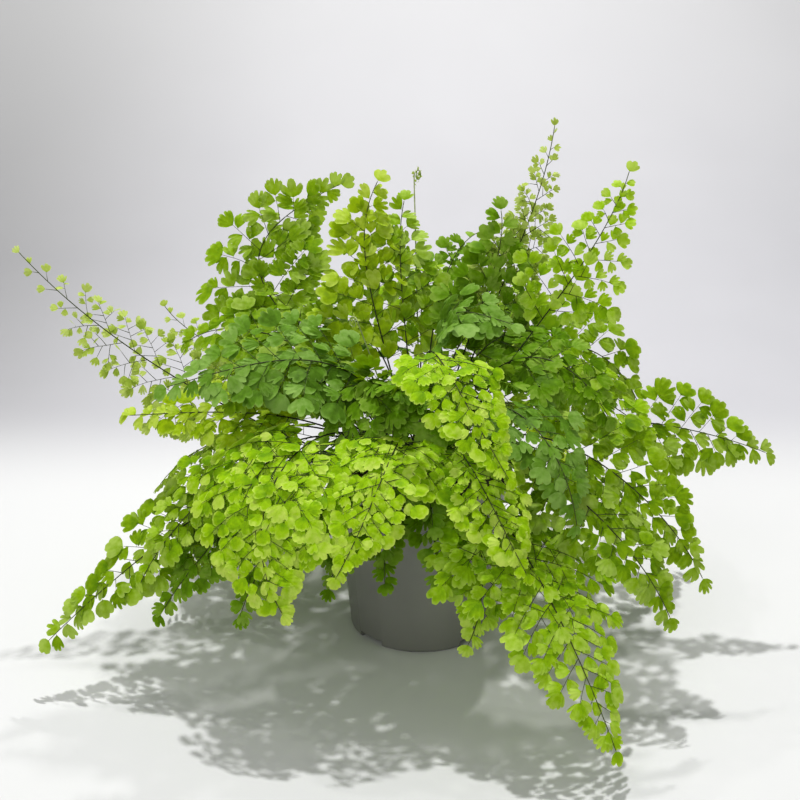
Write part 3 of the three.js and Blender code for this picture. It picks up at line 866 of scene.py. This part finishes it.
def crozier(young, seat_z, materials, seed):
    """A thin pale stalk whose tip is still rolled up, with tiny folded leaflets on the roll."""
    foot = np.array((*young["seat"], 0.0)) * MM
    foot[2] = seat_z
    neck = np.array(young["top"]) * MM - (0, 0, COIL_RADIUS)
    middle = (foot + neck) / 2
    middle[:2] = 0.6 * foot[:2] + 0.4 * neck[:2]
    t = np.linspace(0, 1, STEM_STEPS)[:, None]
    stem = (1 - t) ** 2 * foot + 2 * t * (1 - t) * middle + t**2 * neck
    across = np.array((math.cos(young["lean"]), math.sin(young["lean"]), 0.0))
    path = np.concatenate([stem, coil_path(neck, across)])
    shares = np.linspace(0, 1, len(path))
    build = Build()
    tube(build, path, CROZIER_RADIUS * (1 - 0.6 * shares**2), 8, 1, 0.4 + 0.6 * shares)
    grower = Grower(build, HABITS["young"], seed)
    face = np.cross(across, -DOWN)
    for k in range(len(stem) - 2, len(path), 2):
        along = unit(path[min(k + 1, len(path) - 1)] - path[k - 1])
        out = unit(np.cross(along, face) * (1 if k % 4 else -0.4) + 0.4 * along)
        size = BUD_SIZE * grower.rng.uniform(*BUD_SIZES)
        grower.leaflet("side", path[k], out, face, size, BUD_AGE)
    piece = add_piece("rolled_" + young["name"], build.mesh(young["name"]), materials)
    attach(piece, "root")
    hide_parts(young["name"])


# Materials


class Look:
    """One procedural material, with short ways to add its nodes."""

    def __init__(self, name):
        self.material = bpy.data.materials.new(name)
        self.material.use_nodes = True
        self.nodes = self.material.node_tree.nodes
        self.nodes.clear()
        self.place = self.node("ShaderNodeTexCoord", {}).outputs["Object"]

    def node(self, kind, values, **settings):
        """A node whose sockets are linked, or set to a number or a colour."""
        node = self.nodes.new(kind)
        for key, setting in settings.items():
            setattr(node, key, setting)
        for key, value in values.items():
            socket = node.inputs[key]
            if isinstance(value, bpy.types.NodeSocket):
                self.material.node_tree.links.new(value, socket)
            elif isinstance(value, (int, float)):
                socket.default_value = value
            else:
                socket.default_value = (*value, 1)
        return node

    def split(self, value):
        """The three values of a vector."""
        return self.node("ShaderNodeSeparateXYZ", {0: value}).outputs

    def uv(self, name):
        """The two values of a UV map."""
        return self.split(self.node("ShaderNodeUVMap", {}, uv_map=name).outputs[0])[:2]

    def noise(self, scale, detail=2):
        values = {"Vector": self.place, "Scale": scale, "Detail": detail}
        return self.node("ShaderNodeTexNoise", values).outputs[0]

    def maths(self, operation, *values):
        return self.node("ShaderNodeMath", dict(enumerate(values)), operation=operation).outputs[0]

    def swing(self, value, span):
        """A value from 0 to 1, moved to lie about 0 and spread over the span."""
        return self.maths("MULTIPLY", self.maths("SUBTRACT", value, 0.5), span)

    def total(self, first, *others):
        for other in others:
            first = self.maths("ADD", first, other)
        return first

    def fade(self, value, start, end, top, ease="LINEAR"):
        """From 0 where the value is at start, to top where it is at end."""
        values = {"Value": value, "From Min": start, "From Max": end, "To Max": top}
        return self.node("ShaderNodeMapRange", values, interpolation_type=ease).outputs[0]

    def ramp(self, value, *stops):
        """Colours at their places along the value."""
        node = self.node("ShaderNodeValToRGB", {0: value})
        elements = node.color_ramp.elements
        for element, (place, colour) in zip(elements, (stops[0], stops[-1])):
            element.position, element.color = place, (*colour, 1)
        for place, colour in stops[1:-1]:
            elements.new(place).color = (*colour, 1)
        return node.outputs[0]

    def mix(self, share, a, b):
        return self.node("ShaderNodeMix", {0: share, 6: a, 7: b}, data_type="RGBA").outputs[2]

    def bump(self, height, strength, distance):
        values = {"Height": height, "Strength": strength, "Distance": distance}
        return self.node("ShaderNodeBump", values).outputs[0]

    def surface(self, colour, roughness, specular=0.5, **more):
        """A principled surface, with more of its sockets by name."""
        values = {"Base Color": colour, "Roughness": roughness, "Specular IOR Level": specular}
        return self.node("ShaderNodeBsdfPrincipled", {**values, **more}).outputs[0]

    def finish(self, shader):
        """The material, with the shader as its surface."""
        self.node("ShaderNodeOutputMaterial", {0: shader})
        return self.material


# Each kind of leaf: its darkest, usual and lightest colour, the colour of the light that comes
# through it, and how much of it does
LEAF_COLOURS = {
    "bright": dict(
        dark=(0.171, 0.345, 0.0023), usual=(0.385, 0.608, 0.0041), light=(0.64, 0.777, 0.17),
        through=(0.682, 0.909, 0.018), clear=0.35,
    ),
    "fresh": dict(
        dark=(0.149, 0.307, 0.0025), usual=(0.314, 0.512, 0.0044), light=(0.527, 0.682, 0.14),
        through=(0.612, 0.844, 0.019), clear=0.35,
    ),
    "mid": dict(
        dark=(0.102, 0.216, 0.0016), usual=(0.235, 0.383, 0.0034), light=(0.412, 0.547, 0.12),
        through=(0.53, 0.769, 0.0093), clear=0.33,
    ),
    "olive": dict(
        dark=(0.166, 0.274, 0.0017), usual=(0.34, 0.484, 0.0037), light=(0.536, 0.659, 0.12),
        through=(0.667, 0.882, 0.0096), clear=0.35,
    ),
    "blue": dict(
        dark=(0.071, 0.149, 0.0096), usual=(0.145, 0.285, 0.025), light=(0.27, 0.423, 0.105),
        through=(0.383, 0.642, 0.038), clear=0.24,
    ),
    # deep is a darker copy of the green, painted shade for fronds that lie in the crown's shadow.
    "deep": dict(
        dark=(0.06, 0.135, 0.0012), usual=(0.136, 0.275, 0.0026), light=(0.273, 0.412, 0.065),
        through=(0.454, 0.679, 0.0046), clear=0.27,
    ),
    "young": dict(
        dark=(0.267, 0.386, 0.039), usual=(0.427, 0.541, 0.099), light=(0.601, 0.704, 0.247),
        through=(0.63, 0.769, 0.134), clear=0.42,
    ),
}


def leaf_material(name, dark, usual, light, through, clear):
    """A thin leaf: dark to light by leaflet, paler at its rim, finely veined, with light let through."""
    look = Look(name)
    across, along = look.uv("leaflet")
    own, young = look.uv("shade")
    patches = look.swing(look.noise(55, 3), 0.9)
    flecks = look.swing(look.noise(280), 1.1)
    paling = look.swing(along, 0.3)
    by_leaflet = look.maths("MULTIPLY_ADD", own, 0.6, 0.12)
    by_age = look.maths("MULTIPLY", young, 0.22)
    tone = look.total(flecks, paling, patches, by_leaflet, by_age)
    colour = look.ramp(tone, (0.0, dark), (0.5, usual), (1.0, light))

    rays = look.maths("SINE", look.maths("MULTIPLY", across, 150.0))
    between = look.maths("POWER", look.maths("ABSOLUTE", rays), 0.5)
    veins = look.maths("MULTIPLY", look.maths("SUBTRACT", 1.0, between), 0.1)
    colour = look.mix(veins, colour, light)
    colour = look.mix(look.fade(along, 0.84, 1.0, 0.75), colour, light)

    normal = look.bump(between, 0.12, 0.0002)
    face = look.surface(colour, 0.5, 0.08, Normal=normal)
    glow = {"Color": look.mix(0.5, colour, through), "Normal": normal}
    glow = look.node("ShaderNodeBsdfTranslucent", glow).outputs[0]
    return look.finish(look.node("ShaderNodeMixShader", {0: clear, 1: face, 2: glow}).outputs[0])


def stalk_material():
    """Wiry and near black, turning green-brown where it is young."""
    look = Look("stalk")
    black, dark, young = (0.006, 0.008, 0.004), (0.02, 0.02, 0.009), (0.11, 0.15, 0.03)
    bark = look.ramp(look.noise(120), (0.3, black), (0.7, dark))
    youth = look.maths("MULTIPLY", look.uv("shade")[1], 0.6)
    return look.finish(look.surface(look.mix(youth, bark, young), 0.5, 0.25))


def young_stalk_material():
    """Pale green and finely speckled, dark brown towards its foot."""
    look = Look("young_stalk")
    green, pale, brown = (0.36, 0.45, 0.16), (0.55, 0.64, 0.34), (0.07, 0.045, 0.02)
    skin = look.ramp(look.noise(300), (0.3, green), (0.7, pale))
    old = look.maths("SUBTRACT", 1.0, look.uv("shade")[1])
    return look.finish(look.surface(look.mix(old, skin, brown), 0.45))


def pot_material():
    """Grey moulded plastic with a fine grain, dusty streaks, a slight sheen and painted shade at its
    foot.
    """
    look = Look("pot_plastic")
    grey, dusty, foot_shade_grey = (0.25, 0.25, 0.235), (0.32, 0.32, 0.3), (0.11, 0.11, 0.1)
    wall = look.ramp(look.noise(14, 6), (0.3, grey), (0.75, dusty))
    # Painted shade: from 6 cm high down to the foot the grey turns darker, as if shaded by the floor.
    painted_foot_shade = look.fade(look.split(look.place)[2], 0.06, 0.0, 0.55)
    grain = look.bump(look.noise(900), 0.12, 0.0003)
    return look.finish(look.surface(look.mix(painted_foot_shade, wall, foot_shade_grey), 0.36, 0.8, Normal=grain))


def plain_material(name, low, high, scale, roughness, strength):
    """A matt natural surface that varies between two colours, with a rough bump."""
    look = Look(name)
    lumps = look.noise(scale, 6)
    colour = look.ramp(lumps, (0.3, low), (0.7, high))
    return look.finish(look.surface(colour, roughness, Normal=look.bump(lumps, strength, 0.001)))


# Stage


def make_camera():
    """The camera of the photograph."""
    data = bpy.data.cameras.new("camera")
    data.lens = CAMERA_LENS_MM
    data.sensor_width = SENSOR_WIDTH_MM
    camera = add_object("camera", data)
    camera.location = CAMERA_PLACE
    camera.rotation_euler = (math.radians(90 - CAMERA_PITCH), 0, 0)
    bpy.context.scene.camera = camera


def stage_material():
    """A matt off-white floor that turns to a grey wall, with painted shade to the left and painted light
    higher up.
    """
    look = Look("stage")
    floor, low, high = (0.645, 0.65, 0.67), (0.51, 0.51, 0.55), (0.54, 0.54, 0.58)
    left_shade_grey, pale = (0.3, 0.3, 0.31), (0.86, 0.86, 0.89)
    x, y, z = look.split(look.place)
    wall = look.ramp(look.noise(4), (0.3, low), (0.7, high))
    # Painted shade: the wall turns darker grey towards the left.
    wall = look.mix(look.fade(x, -0.1, -0.7, 0.75, "SMOOTHSTEP"), wall, left_shade_grey)
    # Painted light: the wall turns paler higher up (the pale colour here).
    wall = look.mix(look.fade(z, 0.08, 0.5, 0.6), wall, pale)
    colour = look.mix(look.fade(y, 0.2, 0.46, 1.0, "SMOOTHSTEP"), floor, wall)
    return look.finish(look.surface(colour, 0.8))


def make_stage():
    """A pale floor that curves up behind into a plain wall."""
    half_width, front, back, bend, top, steps = 6.0, -6.0, 1.6, 1.2, 6.0, 16
    profile = [(front, 0.0), (back - bend, 0.0)]
    for k in range(1, steps + 1):
        angle = math.radians(90 * k / steps)
        profile.append((back - bend + bend * math.sin(angle), bend - bend * math.cos(angle)))
    profile.append((back, top))
    points = [(x, y, z) for x in (-half_width, half_width) for y, z in profile]
    n = len(profile)
    faces = [(k, n + k, n + k + 1, k + 1) for k in range(n - 1)]
    me = bpy.data.meshes.new("stage")
    me.from_pydata(points, [], faces)
    me.shade_smooth()
    add_piece("stage", me, [stage_material()])


# Each lamp's place, the height it aims at on the axis, its size, watts and colour
LAMPS = {
    "key": ((-0.03, 0.2, 1.5), 0.1, 0.05, 14.2, (0.99, 0.98, 0.96)),
    "back": ((0.3, 0.85, 1.35), 0.1, 0.06, 6, (1.0, 0.98, 0.95)),
    "left": ((-0.75, 0.35, 1.35), 0.1, 0.06, 1.8, (1.0, 0.98, 0.95)),
    "fill": ((-0.6, -1.45, 1.05), 0.15, 1.0, 8.2, (0.99, 0.99, 0.95)),
}
WORLD_COLOUR = (0.96, 0.97, 0.91, 1)
WORLD_STRENGTH = 0.42
EXPOSURE = 0.18
GAMMA = 0.87


def make_lamp(name, place, aim, size, power, colour):
    """A round lamp that faces the axis."""
    data = bpy.data.lights.new(name, "AREA")
    data.shape = "DISK"
    data.size = size
    data.energy = power
    data.color = colour
    lamp = add_object(name, data)
    lamp.location = place
    direction = Vector((0, 0, aim)) - Vector(place)
    lamp.rotation_euler = direction.to_track_quat("-Z", "Y").to_euler()


def make_light():
    """Lamps, light from all around, and the exposure."""
    for name, row in LAMPS.items():
        make_lamp(name, *row)
    world = bpy.data.worlds.new("world")
    world.use_nodes = True
    background = world.node_tree.nodes["Background"]
    background.inputs[0].default_value = WORLD_COLOUR
    background.inputs[1].default_value = WORLD_STRENGTH
    bpy.context.scene.world = world
    view = bpy.context.scene.view_settings
    view.view_transform = "Standard"
    view.exposure = EXPOSURE
    view.gamma = GAMMA


# Assembly

leaf_looks = {}
for tone, colours in LEAF_COLOURS.items():
    leaf_looks[tone] = leaf_material("leaf_" + tone, **colours)
stalk_look = stalk_material()

make_camera()
make_stage()
make_light()

seat_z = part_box("frond_far_left")[0][2]
for number, plant in enumerate(FRONDS):
    leafy_frond(plant, seat_z, [leaf_looks[plant["tone"]], stalk_look], SEED + number)

nursery_pot(pot_material())
soil_look = plain_material("potting_mix", (0.02, 0.013, 0.008), (0.07, 0.045, 0.03), 220, 0.95, 0.9)
perlite_look = plain_material("perlite", (0.55, 0.54, 0.5), (0.8, 0.79, 0.75), 400, 0.9, 0.4)
potting_soil([soil_look, perlite_look])
root_crown(plain_material("rhizome", (0.02, 0.012, 0.007), (0.06, 0.035, 0.02), 160, 0.85, 0.8))
young_looks = [leaf_looks["young"], young_stalk_material()]
for number, young in enumerate(CROZIERS):
    crozier(young, seat_z, young_looks, CROZIER_SEED + number)
